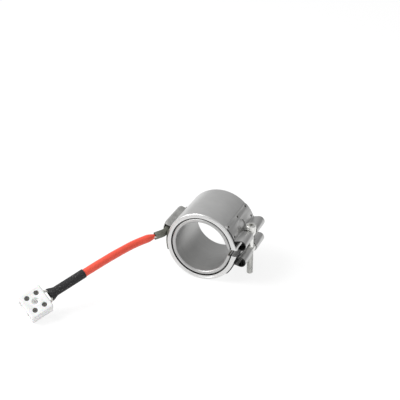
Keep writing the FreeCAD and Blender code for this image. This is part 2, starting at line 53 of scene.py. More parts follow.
MM = 0.001
FULL_TURN = 2 * math.pi
ROOT_BODY = "heater"
SMOOTH_ANGLE = math.radians(38)
LUG_CUT = 26.42 * MM                        # the lugs' sheared ends lie just beyond this, either way
PIN_X = 38.8 * MM                           # the clamp pins' middle lines
PIN_Z = 8.5 * MM
LOOP_INSIDE = 4.3 * MM                      # from a pin's middle line to within the loop's sheet
JOINT_RADII = (28.75 * MM, 29.72 * MM)      # the open joint between the sheath's bead and the case

Colour = tuple[float, float, float]
Socket = bpy.types.NodeSocket


class Finish(Protocol):
    """Anything that has a name and can make a material."""

    name: str

    def make(self) -> bpy.types.Material:
        """Returns the material."""


# ---- shader sketching ----------------------------------------------------------------------------------
class Sketch:
    """Node tree of one material, put together from small steps."""

    def __init__(self, name: str) -> None:
        """Starts an empty material with one Principled shader."""
        self.material = bpy.data.materials.new(name)
        self.material.use_nodes = True
        self.tree = self.material.node_tree
        self.tree.nodes.clear()
        self.output = self.node("ShaderNodeOutputMaterial")
        self.shader = self.node("ShaderNodeBsdfPrincipled")
        self.link(self.shader.outputs["BSDF"], self.output.inputs["Surface"])

    def node(self, kind: str, **settings: object) -> bpy.types.Node:
        """Adds a node and sets its properties."""
        made = self.tree.nodes.new(kind)
        for key, value in settings.items():
            setattr(made, key, value)
        return made

    def link(self, source: Socket, target: Socket) -> None:
        """Joins an output to an input."""
        self.tree.links.new(source, target)

    def set(self, **values: object) -> None:
        """Sets constants on the shader's own sockets, with underscores for the spaces in their names."""
        for key, value in values.items():
            self.shader.inputs[key.replace("_", " ")].default_value = value

    def place(self, scale: Sequence[float] = (1, 1, 1), source: str = "Object",
              turn: Sequence[float] = (0, 0, 0)) -> Socket:
        """Coordinates of a pattern.

        Args:
            scale: Stretch along each axis.
            source: The output of Texture Coordinate that is read.
            turn: Rotation of the pattern, in radians.

        Returns:
            The vector socket.
        """
        coordinates = self.node("ShaderNodeTexCoord")
        mapping = self.node("ShaderNodeMapping")
        mapping.inputs["Scale"].default_value = scale
        mapping.inputs["Rotation"].default_value = turn
        self.link(coordinates.outputs[source], mapping.inputs["Vector"])
        return mapping.outputs["Vector"]

    def noise(self, vector: Socket, scale: float, detail: float = 4.0, roughness: float = 0.55) -> Socket:
        """Grey noise between 0 and 1."""
        made = self.node("ShaderNodeTexNoise")
        made.inputs["Scale"].default_value = scale
        made.inputs["Detail"].default_value = detail
        made.inputs["Roughness"].default_value = roughness
        self.link(vector, made.inputs["Vector"])
        return made.outputs["Fac"]

    def math(self, operation: str, first: Socket | float, second: Socket | float = 0.0) -> Socket:
        """One step of arithmetic on sockets or numbers."""
        made = self.node("ShaderNodeMath", operation=operation)
        for slot, value in enumerate((first, second)):
            if isinstance(value, (int, float)):
                made.inputs[slot].default_value = value
            else:
                self.link(value, made.inputs[slot])
        return made.outputs[0]

    def ramp(self, fac: Socket, stops: Sequence[tuple[float, Colour]]) -> Socket:
        """Colour that follows a grey value through the stops."""
        made = self.node("ShaderNodeValToRGB")
        band = made.color_ramp
        while len(band.elements) < len(stops):
            band.elements.new(0.5)
        for element, (place, colour) in zip(band.elements, stops):
            element.position = place
            element.color = (*colour, 1.0)
        self.link(fac, made.inputs["Fac"])
        return made.outputs["Color"]

    def span(self, fac: Socket, low: float, high: float) -> Socket:
        """The grey value carried from 0..1 to low..high."""
        made = self.node("ShaderNodeMapRange")
        made.inputs["To Min"].default_value = low
        made.inputs["To Max"].default_value = high
        self.link(fac, made.inputs["Value"])
        return made.outputs["Result"]

    def bump(self, height: Socket, distance: float, strength: float = 1.0) -> None:
        """Relief of the given depth in metres."""
        made = self.node("ShaderNodeBump")
        made.inputs["Strength"].default_value = strength
        made.inputs["Distance"].default_value = distance
        self.link(height, made.inputs["Height"])
        self.link(made.outputs["Normal"], self.shader.inputs["Normal"])

    def into(self, source: Socket, name: str) -> None:
        """Feeds one of the shader's sockets."""
        self.link(source, self.shader.inputs[name])


def shade(colour: Colour, factor: float) -> Colour:
    """The colour made lighter or darker."""
    return tuple(min(1.0, channel * factor) for channel in colour)


# ---- finishes ------------------------------------------------------------------------------------------
class Grain(Enum):
    """Which way the rolling marks of a sheet run."""

    ROUND_THE_BAND = (25.0, 2600.0, 25.0)
    ALONG_THE_BAND = (1500.0, 30.0, 1500.0)
    NONE = (300.0, 300.0, 300.0)


@dataclass(frozen=True)
class SheetMetal:
    """Rolled or turned metal with fine marks, cloudy tone and small scuffs, and painted shade where a shadow
    mask is given.
    """

    name: str
    colour: Colour
    roughness: float
    grain: Grain = Grain.NONE
    variation: float = 0.08
    relief: float = 0.00001
    speckle: float = 0.0
    shadow: Callable[[Sketch], Socket] | None = None

    def make(self) -> bpy.types.Material:
        """Returns the material."""
        s = Sketch(self.name)
        s.set(Metallic=1.0)
        marks = s.noise(s.place(self.grain.value), 1.0, 3.0, 0.6)
        clouds = s.noise(s.place(), 70.0, 3.0)
        scuffs = s.noise(s.place(), 900.0, 6.0, 0.7)
        tone = s.math("ADD", s.math("MULTIPLY", marks, 0.45), s.math("MULTIPLY", clouds, 0.55))
        if self.speckle:
            tone = s.math("ADD", tone, s.math("MULTIPLY", s.math("SUBTRACT", scuffs, 0.5), self.speckle))
        # painted shade: the mask darkens the tone, down to the darkest stop of the ramp
        if self.shadow:
            tone = s.math("SUBTRACT", tone, s.math("MULTIPLY", self.shadow(s), 0.6))
        stops = [(0.08, shade(self.colour, 0.08)), (0.3, shade(self.colour, 1 - self.variation)),
                 (0.5, self.colour), (0.7, shade(self.colour, 1 + self.variation))]
        s.into(s.ramp(tone, stops), "Base Color")
        wear = s.math("ADD", s.math("MULTIPLY", clouds, 0.5), s.math("MULTIPLY", scuffs, 0.5))
        s.into(s.span(wear, self.roughness * 0.75, self.roughness * 1.25), "Roughness")
        s.bump(s.math("ADD", marks, scuffs), self.relief)
        return s.material


def lug_shadow(s: Sketch) -> Socket:
    """1 inside the rolled loops of a lug, where shade is painted, and on the sheared ends, which are darkened
    too, else 0.
    """
    parts = s.node("ShaderNodeSeparateXYZ")
    s.link(s.place(), parts.inputs["Vector"])
    along = s.math("ABSOLUTE", parts.outputs["Y"])
    cut = s.math("GREATER_THAN", along, LUG_CUT)
    across = s.math("SUBTRACT", parts.outputs["X"], PIN_X)
    height = s.math("SUBTRACT", s.math("ABSOLUTE", parts.outputs["Z"]), PIN_Z)
    squared = s.math("ADD", s.math("MULTIPLY", across, across), s.math("MULTIPLY", height, height))
    # painted shade inside the rolled loops
    inside = s.math("LESS_THAN", squared, LOOP_INSIDE ** 2)
    return s.math("MAXIMUM", cut, inside)


def rim_shadow(s: Sketch) -> Socket:
    """1 in the open joint between the sheath's bead and the case's flange, else 0."""
    parts = s.node("ShaderNodeSeparateXYZ")
    s.link(s.place(), parts.inputs["Vector"])
    squared = s.math("ADD", s.math("MULTIPLY", parts.outputs["X"], parts.outputs["X"]),
                     s.math("MULTIPLY", parts.outputs["Z"], parts.outputs["Z"]))
    beyond = s.math("GREATER_THAN", squared, JOINT_RADII[0] ** 2)
    within = s.math("LESS_THAN", squared, JOINT_RADII[1] ** 2)
    return s.math("MULTIPLY", beyond, within)


@dataclass(frozen=True)
class GrainyPaint:
    """Matt coat with a coarse grain, worn a little lighter in patches."""

    name: str
    colour: Colour
    roughness: float = 0.6
    metallic: float = 0.6
    grain: float = 1400.0

    def make(self) -> bpy.types.Material:
        """Returns the material."""
        s = Sketch(self.name)
        s.set(Metallic=self.metallic, Roughness=self.roughness)
        grain = s.noise(s.place(), self.grain, 4.0, 0.7)
        patches = s.noise(s.place(), 160.0, 3.0)
        tone = s.math("ADD", s.math("MULTIPLY", grain, 0.6), s.math("MULTIPLY", patches, 0.4))
        s.into(s.ramp(tone, [(0.34, shade(self.colour, 0.55)), (0.52, self.colour),
                             (0.66, shade(self.colour, 1.45))]), "Base Color")
        s.bump(grain, 0.00016, 0.8)
        return s.material


@dataclass(frozen=True)
class Silicone:
    """Smooth silicone coat over a glass braid that shows through as a faint lattice."""

    name: str
    colour: Colour
    around: float
    pitch: float

    def make(self) -> bpy.types.Material:
        """Returns the material."""
        s = Sketch(self.name)
        s.set(Roughness=0.42, Coat_Weight=0.12, Coat_Roughness=0.35, Specular_IOR_Level=0.4)
        weave = braid_height(s, self.around, self.pitch)
        clouds = s.noise(s.place((1, 1, 1), "UV"), 0.22, 3.0)
        tone = s.math("ADD", s.math("MULTIPLY", weave, 0.3), s.math("MULTIPLY", clouds, 0.7))
        s.into(s.ramp(tone, [(0.25, shade(self.colour, 0.86)), (0.5, self.colour),
                             (0.75, shade(self.colour, 1.08))]), "Base Color")
        s.bump(weave, 0.00003, 0.5)
        return s.material


@dataclass(frozen=True)
class Braid:
    """Crossed strands on the piece's UV map, which is in millimetres round and along."""

    name: str
    low: Colour
    high: Colour
    around: float
    pitch: float
    roughness: float = 0.55
    relief: float = 0.00025
    sheen: float = 0.0
    fleck: Colour = (0.22, 0.22, 0.21)
    fleck_from: float = 0.63

    def make(self) -> bpy.types.Material:
        """Returns the material."""
        s = Sketch(self.name)
        s.set(Roughness=self.roughness, Sheen_Weight=self.sheen, Specular_IOR_Level=0.3)
        weave = braid_height(s, self.around, self.pitch)
        fibres = s.noise(s.place((9.0, 1.5, 1.0), "UV"), 1.0, 3.0, 0.7)
        tone = s.math("ADD", s.math("MULTIPLY", weave, 0.75), s.math("MULTIPLY", fibres, 0.25))
        middle = tuple((a + b) / 2 for a, b in zip(self.low, self.high))
        s.bump(tone, self.relief, 0.9)
        blotches = s.noise(s.place((0.9, 0.5, 1.0), "UV"), 1.0, 2.0, 0.6)
        loose = s.math("GREATER_THAN", blotches, self.fleck_from)
        flecked = s.math("ADD", s.math("MULTIPLY", tone, 0.8), s.math("MULTIPLY", loose, 0.35))
        s.into(s.ramp(flecked, [(0.28, self.low), (0.5, middle), (0.7, self.high), (0.95, self.fleck)]),
               "Base Color")
        return s.material


def braid_height(s: Sketch, around: float, pitch: float) -> Socket:
    """Height of a plain braid.

    Args:
        s: The material that is being built.
        around: Width of one strand, measured round the piece, in the UV map's millimetres.
        pitch: Length of one strand's crossing, measured along the piece.

    Returns:
        A grey socket, 1 on the strands' crowns and 0 between them.
    """
    parts = s.node("ShaderNodeSeparateXYZ")
    s.link(s.place((math.pi / around, math.pi / pitch, 1.0), "UV"), parts.inputs["Vector"])
    across, along = parts.outputs["X"], parts.outputs["Y"]
    one = s.math("SINE", s.math("ADD", across, along))
    other = s.math("SINE", s.math("SUBTRACT", across, along))
    over = s.math("GREATER_THAN", s.math("MULTIPLY", one, other), 0.0)
    under = s.math("SUBTRACT", 1.0, over)
    first = s.math("MULTIPLY", s.math("ABSOLUTE", one), over)
    second = s.math("MULTIPLY", s.math("ABSOLUTE", other), under)
    return s.math("ADD", first, second)


@dataclass(frozen=True)
class Glaze:
    """White fired ceramic with a soft glaze, faint mould marks and specks."""

    name: str
    colour: Colour

    def make(self) -> bpy.types.Material:
        """Returns the material."""
        s = Sketch(self.name)
        s.set(Roughness=0.32, Coat_Weight=0.35, Coat_Roughness=0.18, Subsurface_Weight=0.08,
              Subsurface_Scale=0.002)
        clouds = s.noise(s.place(), 220.0, 4.0)
        specks = s.noise(s.place(), 2200.0, 2.0)
        tone = s.math("ADD", s.math("MULTIPLY", clouds, 0.7), s.math("MULTIPLY", specks, 0.3))
        s.into(s.ramp(tone, [(0.3, shade(self.colour, 0.95)), (0.5, self.colour),
                             (0.7, shade(self.colour, 1.03))]), "Base Color")
        s.bump(clouds, 0.00006, 0.5)
        return s.material


@dataclass(frozen=True)
class Mineral:
    """Dull layered stuff: mica sheet or fibre blanket."""

    name: str
    colour: Colour
    grain: float
    roughness: float = 0.8

    def make(self) -> bpy.types.Material:
        """Returns the material."""
        s = Sketch(self.name)
        s.set(Roughness=self.roughness)
        flakes = s.noise(s.place(), self.grain, 6.0, 0.75)
        s.into(s.ramp(flakes, [(0.3, shade(self.colour, 0.7)), (0.55, self.colour),
                               (0.75, shade(self.colour, 1.2))]), "Base Color")
        s.bump(flakes, 0.0001, 0.7)
        return s.material


CASE = SheetMetal("case_satin", (0.70, 0.70, 0.695), 0.36, Grain.ROUND_THE_BAND, 0.07, shadow=rim_shadow)
SHEATH = SheetMetal("sheath_bright", (0.52, 0.52, 0.515), 0.50, Grain.ROUND_THE_BAND, 0.12,
                    shadow=rim_shadow)
LUG = SheetMetal("lug_strip", (0.56, 0.56, 0.555), 0.38, Grain.ROUND_THE_BAND, 0.06, shadow=lug_shadow)
ZINC = SheetMetal("zinc_bright", (0.80, 0.80, 0.78), 0.26, Grain.NONE, 0.16, 0.00002, 0.6)
TERMINAL = SheetMetal("terminal_dark", (0.19, 0.185, 0.175), 0.42, Grain.NONE, 0.25, 0.00002, 0.5)
WELD = SheetMetal("weld_burn", (0.07, 0.065, 0.06), 0.55, Grain.NONE, 0.35, 0.00004, 0.6)
BRASS = SheetMetal("brass_dull", (0.42, 0.36, 0.22), 0.42, Grain.NONE, 0.2)
RIBBON = SheetMetal("ribbon_dull", (0.35, 0.33, 0.31), 0.45, Grain.ALONG_THE_BAND, 0.15)
FERRULE = GrainyPaint("ferrule_dull", (0.19, 0.195, 0.165), 0.5, 0.8, 700.0)
BOX = GrainyPaint("box_grainy", (0.36, 0.36, 0.35), 0.65, 0.35)
RED = Silicone("red_silicone", (0.93, 0.105, 0.062), 0.55, 0.55)
BLACK = Braid("black_braid", (0.002, 0.002, 0.0025), (0.045, 0.045, 0.048), 1.67, 2.0, 0.6, 0.00015)
CERAMIC = Glaze("white_ceramic", (0.93, 0.93, 0.925))
WIRE_COVER = Mineral("glass_braid_plain", (0.8, 0.79, 0.75), 1800.0)
MICA = Mineral("mica_sheet", (0.40, 0.34, 0.22), 500.0, 0.45)
FIBRE = Mineral("fibre_blanket", (0.72, 0.71, 0.66), 900.0)


# ---- shared shaping ------------------------------------------------------------------------------------
def to_object(name: str, shape: bmesh.types.BMesh, finish: Finish, body: str,
              instead_of: Sequence[str] = ()) -> bpy.types.Object:
    """Turns a bmesh into a finished piece.

    Args:
        name: The piece's name.
        shape: Its mesh, in place, in metres. It is freed.
        finish: The finish that makes its material.
        body: The body it rides on.
        instead_of: CAD nodes that it stands for.

    Returns:
        The piece.
    """
    mesh = bpy.data.meshes.new(name)
    shape.to_mesh(mesh)
    shape.free()
    mesh.shade_smooth()
    mesh.set_sharp_from_angle(angle=SMOOTH_ANGLE)
    piece = bpy.data.objects.new(name, mesh)
    bpy.context.scene.collection.objects.link(piece)
    mesh.materials.append(material_of(finish))
    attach(piece, body)
    if instead_of:
        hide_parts(*instead_of)
    LOG.info("piece %s: %d faces", name, len(mesh.polygons))
    return piece


MADE: dict[str, bpy.types.Material] = {}


def material_of(finish: Finish) -> bpy.types.Material:
    """The finish's material, made once."""
    if finish.name not in MADE:
        MADE[finish.name] = finish.make()
    return MADE[finish.name]


def dress(nodes: Sequence[str], finish: Finish) -> None:
    """Gives CAD nodes a better material."""
    for name in nodes:
        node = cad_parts[name]
        node.data.materials.clear()
        node.data.materials.append(material_of(finish))
        LOG.info("node %s: %s", name, finish.name)


def softened(node: str, width: float, segments: int = 2, angle: float = 32.0) -> bmesh.types.BMesh:
    """A copy of a CAD node with its sharp edges rounded.

    Args:
        node: The CAD node.
        width: Width of the rounding, in metres.
        segments: Faces across each rounding.
        angle: Edges sharper than this many degrees are rounded.

    Returns:
        The mesh, in place.
    """
    shape = bmesh.new()
    shape.from_mesh(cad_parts[node].data)
    bmesh.ops.remove_doubles(shape, verts=shape.verts, dist=2e-6)
    bmesh.ops.dissolve_limit(shape, angle_limit=math.radians(0.6), verts=shape.verts, edges=shape.edges)
    sharp = [edge for edge in shape.edges
             if len(edge.link_faces) == 2 and edge.calc_face_angle(0.0) > math.radians(angle)]
    bmesh.ops.bevel(shape, geom=sharp, offset=width, offset_type="OFFSET", segments=segments, profile=0.5,
                    affect="EDGES", clamp_overlap=True, material=-1)
    return shape


def lathe(profile: Sequence[tuple[float, float]], steps: int) -> bmesh.types.BMesh:
    """A closed solid turned about the Z axis from (radius, height) corners, first and last on the axis."""
    shape = bmesh.new()
    verts = [shape.verts.new((radius, 0.0, height)) for radius, height in profile]
    edges = [shape.edges.new(pair) for pair in zip(verts, verts[1:])]
    bmesh.ops.spin(shape, geom=verts + edges, cent=(0, 0, 0), axis=(0, 0, 1), angle=FULL_TURN,
                   steps=steps, use_merge=True, use_duplicate=False)
    bmesh.ops.remove_doubles(shape, verts=shape.verts, dist=1e-6)
    bmesh.ops.recalc_face_normals(shape, faces=shape.faces)
    return shape


def sweep(path: Sequence[Vector], radius: Callable[[float], float], sides: int,
          relief: Callable[[float, float], float] = lambda around, along: 0.0,
          closed: bool = True) -> bmesh.types.BMesh:
    """A tube along a path, with a UV map in millimetres round and along it.

    Args:
        path: Points of the middle line.
        radius: Radius in metres at a distance along, in metres.
        sides: Points round the tube.
        relief: Extra radius at (turns round, metres along).
        closed: Whether the ends are filled.

    Returns:
        The mesh.
    """
    shape = bmesh.new()
    uv = shape.loops.layers.uv.new("UVMap")
    ring = bmesh.ops.create_circle(shape, segments=sides, radius=1.0, cap_ends=False)["verts"]
    girth = FULL_TURN * radius(0.0) / MM
    heading = (path[1] - path[0]).normalized()
    side = heading.orthogonal().normalized()
    along = 0.0
    rings = []
    for index, point in enumerate(path):
        if index:
            along += (point - path[index - 1]).length
            step = path[min(index + 1, len(path) - 1)] - path[index - 1]
            turn = heading.rotation_difference(step.normalized())
            heading = step.normalized()
            side = (turn @ side).normalized()
            grown = bmesh.ops.extrude_edge_only(shape, edges=ring_edges(rings[-1][0]))["geom"]
            fresh = [item for item in grown if isinstance(item, bmesh.types.BMVert)]
            faces = [item for item in grown if isinstance(item, bmesh.types.BMFace)]
            ring = partners(rings[-1][0], fresh)
        else:
            faces = []
        up = heading.cross(side)
        for number, vert in enumerate(ring):
            share = number / sides
            reach = radius(along) + relief(share, along)
            direction = side * math.cos(FULL_TURN * share) + up * math.sin(FULL_TURN * share)
            vert.co = point + direction * reach
        rings.append((ring, along))
        for face in faces:
            paint_uv(face, rings[-2], rings[-1], uv, girth, sides)
    if closed:
        for ends, turn in ((rings[0][0], True), (rings[-1][0], False)):
            shape.faces.new(list(reversed(ends)) if turn else ends)
    bmesh.ops.recalc_face_normals(shape, faces=shape.faces)
    return shape


def joined(parts: Sequence[bmesh.types.BMesh]) -> bmesh.types.BMesh:
    """One mesh of several, which are freed."""
    whole = bmesh.new()
    for part in parts:
        held = bpy.data.meshes.new("held")
        part.to_mesh(held)
        part.free()
        whole.from_mesh(held)
        bpy.data.meshes.remove(held)
    return whole


def ring_edges(ring: Sequence[bmesh.types.BMVert]) -> list[bmesh.types.BMEdge]:
    """The edges that join a ring's points one after another."""
    inside = set(ring)
    found: list[bmesh.types.BMEdge] = []
    for vert in ring:
        found.extend(edge for edge in vert.link_edges
                     if edge.other_vert(vert) in inside and edge not in found)
    return found


def partners(old: Sequence[bmesh.types.BMVert],
             fresh: Sequence[bmesh.types.BMVert]) -> list[bmesh.types.BMVert]:
    """The new points in the order of the old ones that they grew from."""
    grown = set(fresh)
    return [next(edge.other_vert(vert) for edge in vert.link_edges if edge.other_vert(vert) in grown)
            for vert in old]


def grown_ring(shape: bmesh.types.BMesh, ring: Sequence[bmesh.types.BMVert]) -> list[bmesh.types.BMVert]:
    """Extrudes a ring and returns the new one, point for point."""
    grown = bmesh.ops.extrude_edge_only(shape, edges=ring_edges(ring))["geom"]
    return partners(ring, [item for item in grown if isinstance(item, bmesh.types.BMVert)])


def paint_uv(face: bmesh.types.BMFace, before: tuple, after: tuple, uv: object, girth: float,
             sides: int) -> None:
    """Writes one face's UV, in millimetres, and keeps it whole across the seam."""
    places = {}
    for ring, along in (before, after):
        for number, vert in enumerate(ring):
            if vert in face.verts:
                places[vert] = (number / sides, along / MM)
    seam = max(p[0] for p in places.values()) - min(p[0] for p in places.values()) > 0.5
    for loop in face.loops:
        share, along = places[loop.vert]
        if seam and share < 0.5:
            share += 1.0
        loop[uv].uv = (share * girth, along)


# ---- studio --------------------------------------------------------------------------------------------
@dataclass
class Studio:
    """Camera, pale floor and soft light."""

    azimuth: float = 21.68
    elevation: float = 26.86
    distance: float = 1.0
    lens: float = 95.4
    sensor: float = 36.0
    target: Vector = Vector((-0.0154, 0.0093, 0.0284))
    floor_height: float = -0.03395
    floor_size: float = 6.0
    floor_glow: float = 0.80
    world_levels: tuple = (0.26, 0.90)
    world_from: tuple = (-0.80, -0.20, 0.56)
    key_power: float = 16.0
    fill_power: float = 2.0

    def back(self) -> Vector:
        """Direction from the object to the camera."""
        a, e = math.radians(self.azimuth), math.radians(self.elevation)
        return Vector((math.sin(a) * math.cos(e), -math.cos(a) * math.cos(e), math.sin(e)))

    def make_camera(self) -> None:
        """Puts the camera at the view of the product shot."""
        data = bpy.data.cameras.new("camera")
        data.lens = self.lens
        data.sensor_width = self.sensor
        data.clip_start = 0.01
        camera = bpy.data.objects.new("camera", data)
        bpy.context.scene.collection.objects.link(camera)
        camera.location = self.target + self.back() * self.distance
        camera.rotation_mode = "QUATERNION"
        camera.rotation_quaternion = (-self.back()).to_track_quat("-Z", "Y")
        bpy.context.scene.camera = camera

    def make_floor(self) -> None:
        """Pale floor that shows white to the camera and in reflections, and keeps a soft shadow."""
        shape = bmesh.new()
        bmesh.ops.create_grid(shape, x_segments=1, y_segments=1, size=self.floor_size)
        bmesh.ops.translate(shape, verts=shape.verts, vec=(0, 0, self.floor_height))
        mesh = bpy.data.meshes.new("floor")
        shape.to_mesh(mesh)
        shape.free()
        floor = bpy.data.objects.new("floor", mesh)
        bpy.context.scene.collection.objects.link(floor)
        s = Sketch("floor_paper")
        s.set(Base_Color=(0.8, 0.8, 0.8, 1), Roughness=0.9, Specular_IOR_Level=0.0)
        shadow = s.node("ShaderNodeBsdfDiffuse")
        shadow.inputs["Color"].default_value = (0.25, 0.25, 0.25, 1)
        glow = s.node("ShaderNodeEmission")
        glow.inputs["Strength"].default_value = self.floor_glow
        both = s.node("ShaderNodeAddShader")
        s.link(shadow.outputs[0], both.inputs[0])
        s.link(glow.outputs[0], both.inputs[1])
        mix = s.node("ShaderNodeMixShader")
        s.link(self.seen_directly(s), mix.inputs[0])
        s.link(s.shader.outputs["BSDF"], mix.inputs[1])
        s.link(both.outputs[0], mix.inputs[2])
        s.link(mix.outputs[0], s.output.inputs["Surface"])
        mesh.materials.append(s.material)

    @staticmethod
    def seen_directly(s: Sketch) -> Socket:
        """1 for camera, glossy and transmission rays, else 0."""
        rays = s.node("ShaderNodeLightPath")
        seen = s.math("MAXIMUM", rays.outputs["Is Camera Ray"], rays.outputs["Is Glossy Ray"])
        return s.math("MAXIMUM", seen, rays.outputs["Is Transmission Ray"])

    def make_world(self) -> None:
        """Pale surroundings, lighter on the key's side, which the camera sees as white."""
        world = bpy.data.worlds.new("surroundings")
        bpy.context.scene.world = world
        world.use_nodes = True
        tree = world.node_tree
        tree.nodes.clear()
        output = tree.nodes.new("ShaderNodeOutputWorld")
        light = tree.nodes.new("ShaderNodeBackground")
        towards = tree.nodes.new("ShaderNodeVectorMath")
        towards.operation = "DOT_PRODUCT"
        towards.inputs[1].default_value = self.world_from
        level = tree.nodes.new("ShaderNodeMapRange")
        level.inputs["From Min"].default_value = -1.0
        level.inputs["To Min"].default_value, level.inputs["To Max"].default_value = self.world_levels
        tree.links.new(tree.nodes.new("ShaderNodeTexCoord").outputs["Generated"], towards.inputs[0])
        tree.links.new(towards.outputs["Value"], level.inputs["Value"])
        tree.links.new(level.outputs["Result"], light.inputs["Strength"])
        shown = tree.nodes.new("ShaderNodeBackground")
        rays = tree.nodes.new("ShaderNodeLightPath")
        mix = tree.nodes.new("ShaderNodeMixShader")
        tree.links.new(rays.outputs["Is Camera Ray"], mix.inputs[0])
        tree.links.new(light.outputs[0], mix.inputs[1])
        tree.links.new(shown.outputs[0], mix.inputs[2])
        tree.links.new(mix.outputs[0], output.inputs["Surface"])

    def make_lamp(self, name: str, place: Sequence[float], size: float, power: float) -> None:
        """A square soft light that faces the object."""
        data = bpy.data.lights.new(name, "AREA")
        data.shape = "SQUARE"
        data.size = size
        data.energy = power
        lamp = bpy.data.objects.new(name, data)
        bpy.context.scene.collection.objects.link(lamp)
        lamp.location = place
        lamp.rotation_mode = "QUATERNION"
        lamp.rotation_quaternion = (Vector(place) - self.target).to_track_quat("Z", "Y")

    def make_light(self) -> None:
        """Sets the view transform, the surroundings and the lamps."""
        bpy.context.scene.view_settings.view_transform = "Standard"
        self.make_world()
        self.make_lamp("key", (-0.9, -0.5, 1.1), 0.9, self.key_power)
        self.make_lamp("fill", (0.9, -1.0, 0.7), 0.8, self.fill_power)


# ---- the lead ------------------------------------------------------------------------------------------
@dataclass
class BlockFrame:
    """Where the terminal block's top middle is, and how the block is turned."""

    place: Vector = Vector((-0.1079, -0.1451, -0.01512755495647438))
    heading: float = -123.9
    pitch: float = 16.7
    roll: float = -35.1

    def matrix(self) -> Matrix:
        """Carries the block's own frame (X along the wires, Z out of the top) into the row's."""
        turn = Euler([math.radians(a) for a in (self.roll, self.pitch, self.heading)], "XYZ")
        return Matrix.Translation(self.place) @ turn.to_matrix().to_4x4()


@dataclass
class SleevedLead:
    """Red sleeve from the ferrule, black braided sleeve over its end, and two wires to the block."""

    diameter: float = 7.4 * MM
    length: float = 0.109
    route: tuple = ((-0.0438, -0.0334, 0.0056), (-0.05385, -0.0458, 0.00432), (-0.0629, -0.0651, 0.0028),
                    (-0.0751, -0.0898, -0.0012), (-0.09856, -0.124809, -0.013808))
    pinch_length: float = 8.0 * MM
    pinch: float = 0.50
    block_end: float = -11.0 * MM
    wire_gap: float = 3.5 * MM
    sleeve_length: float = 36.5 * MM
    flare_length: float = 7.0 * MM
    flare_width: float = 6.3 * MM
    flare_thickness: float = 3.8 * MM
    sleeve_outer: float = 4.25 * MM
    depth: float = -6.2 * MM
    sleeve_wall: float = 0.4 * MM
    strands: int = 16
    strand_pitch: float = 2.0 * MM
    strand_depth: float = 0.14 * MM
    wire_line: tuple = ((-1.2, 2.2), (0.2, 2.2), (1.4, 1.8), (2.6, 1.3), (4.0, 0.9))
    wire_radius: float = 0.75 * MM

    def centreline(self, name: str) -> bpy.types.Object:
        """The route as a smooth spline with no thickness."""
        data = bpy.data.curves.new(name, "CURVE")
        data.dimensions = "3D"
        spline = data.splines.new("NURBS")
        spline.points.add(len(self.route) - 1)
        for point, place in zip(spline.points, self.route):
            point.co = (*place, 1.0)
        spline.order_u = 3
        spline.use_endpoint_u = True
        spline.resolution_u = 40
        return bpy.data.objects.new(name, data)

    def path(self) -> list[Vector]:
        """Points read from the spline."""
        line = self.centreline("lead_line")
        bpy.context.scene.collection.objects.link(line)
        bpy.context.view_layer.update()
        mesh = bpy.data.meshes.new_from_object(line.evaluated_get(bpy.context.evaluated_depsgraph_get()))
        points = [vert.co.copy() for vert in mesh.vertices]
        data = line.data
        bpy.data.objects.remove(line)
        bpy.data.curves.remove(data)
        bpy.data.meshes.remove(mesh)
        return points

    def red_radius(self, along: float) -> float:
        """Radius of the red sleeve, pinched where the ferrule grips it and very slightly uneven."""
        grip = max(0.0, 1 - along / self.pinch_length) ** 1.5
        wander = 0.008 * math.sin(along * 310.0) + 0.006 * math.sin(along * 127.0 + 1.0)
        return self.diameter / 2 * (1 - (1 - self.pinch) * grip) * (1 + wander)

    def make_red_sleeve(self) -> tuple[bpy.types.Object, list[Vector]]:
        """The red sleeve and the line that it follows."""
        path = self.path()
        shape = sweep(path, self.red_radius, 40)
        return to_object("red_sleeve", shape, RED, ROOT_BODY, ["lead_sleeve"]), path

    def make_wire_ends(self) -> bpy.types.Object:
        """The two white wires, seen for a moment between the ferrule and the pinched sleeve."""
        mouth, following = Vector(self.route[0]), Vector(self.route[1])
        along = (following - mouth).normalized()
        across = along.cross(Vector((0, 0, 1))).normalized()
        tubes = []
        for side in (-1, 1):
            path = [mouth + along * (a * MM) + across * (side * b * MM) for a, b in self.wire_line]
            tubes.append(sweep(path, lambda _: self.wire_radius, 16))
        return to_object("lead_wire_ends", joined(tubes), WIRE_COVER, ROOT_BODY)

    def make_black_sleeve(self, block: BlockFrame) -> bpy.types.Object:
        """Braided sleeve that spreads flat and wide at its cut end."""
        end = self.block_end - self.wire_gap
        start = end - self.sleeve_length
        steps = 110
        path = [Vector((start + (end - start) * i / steps, 0, self.depth)) for i in range(steps + 1)]
        def relief(around: float, along: float) -> float:
            """Crossed strands, a hair proud of the sleeve."""
            one = math.sin(math.pi * (around * self.strands + along / self.strand_pitch))
            other = math.sin(math.pi * (around * self.strands - along / self.strand_pitch))
            return self.strand_depth * ((abs(one) if one * other > 0 else abs(other)) - 1.0)

        shape = sweep(path, lambda along: self.sleeve_outer, 96, relief, closed=False)
        for vert in shape.verts:
            spread = max(0.0, (vert.co.x - (end - self.flare_length)) / self.flare_length)
            spread = spread * spread * (3 - 2 * spread)
            side, up = vert.co.y, vert.co.z - self.depth
            vert.co.y = side * (1 + spread * (self.flare_width / self.sleeve_outer - 1))
            vert.co.z = self.depth + up * (1 + spread * (self.flare_thickness / self.sleeve_outer - 1))
        bmesh.ops.recalc_face_normals(shape, faces=shape.faces)
        bmesh.ops.solidify(shape, geom=list(shape.faces), thickness=self.sleeve_wall)
        bmesh.ops.transform(shape, matrix=block.matrix(), verts=shape.verts)
        return to_object("black_sleeve", shape, BLACK, ROOT_BODY, ["shrink_sleeve"])


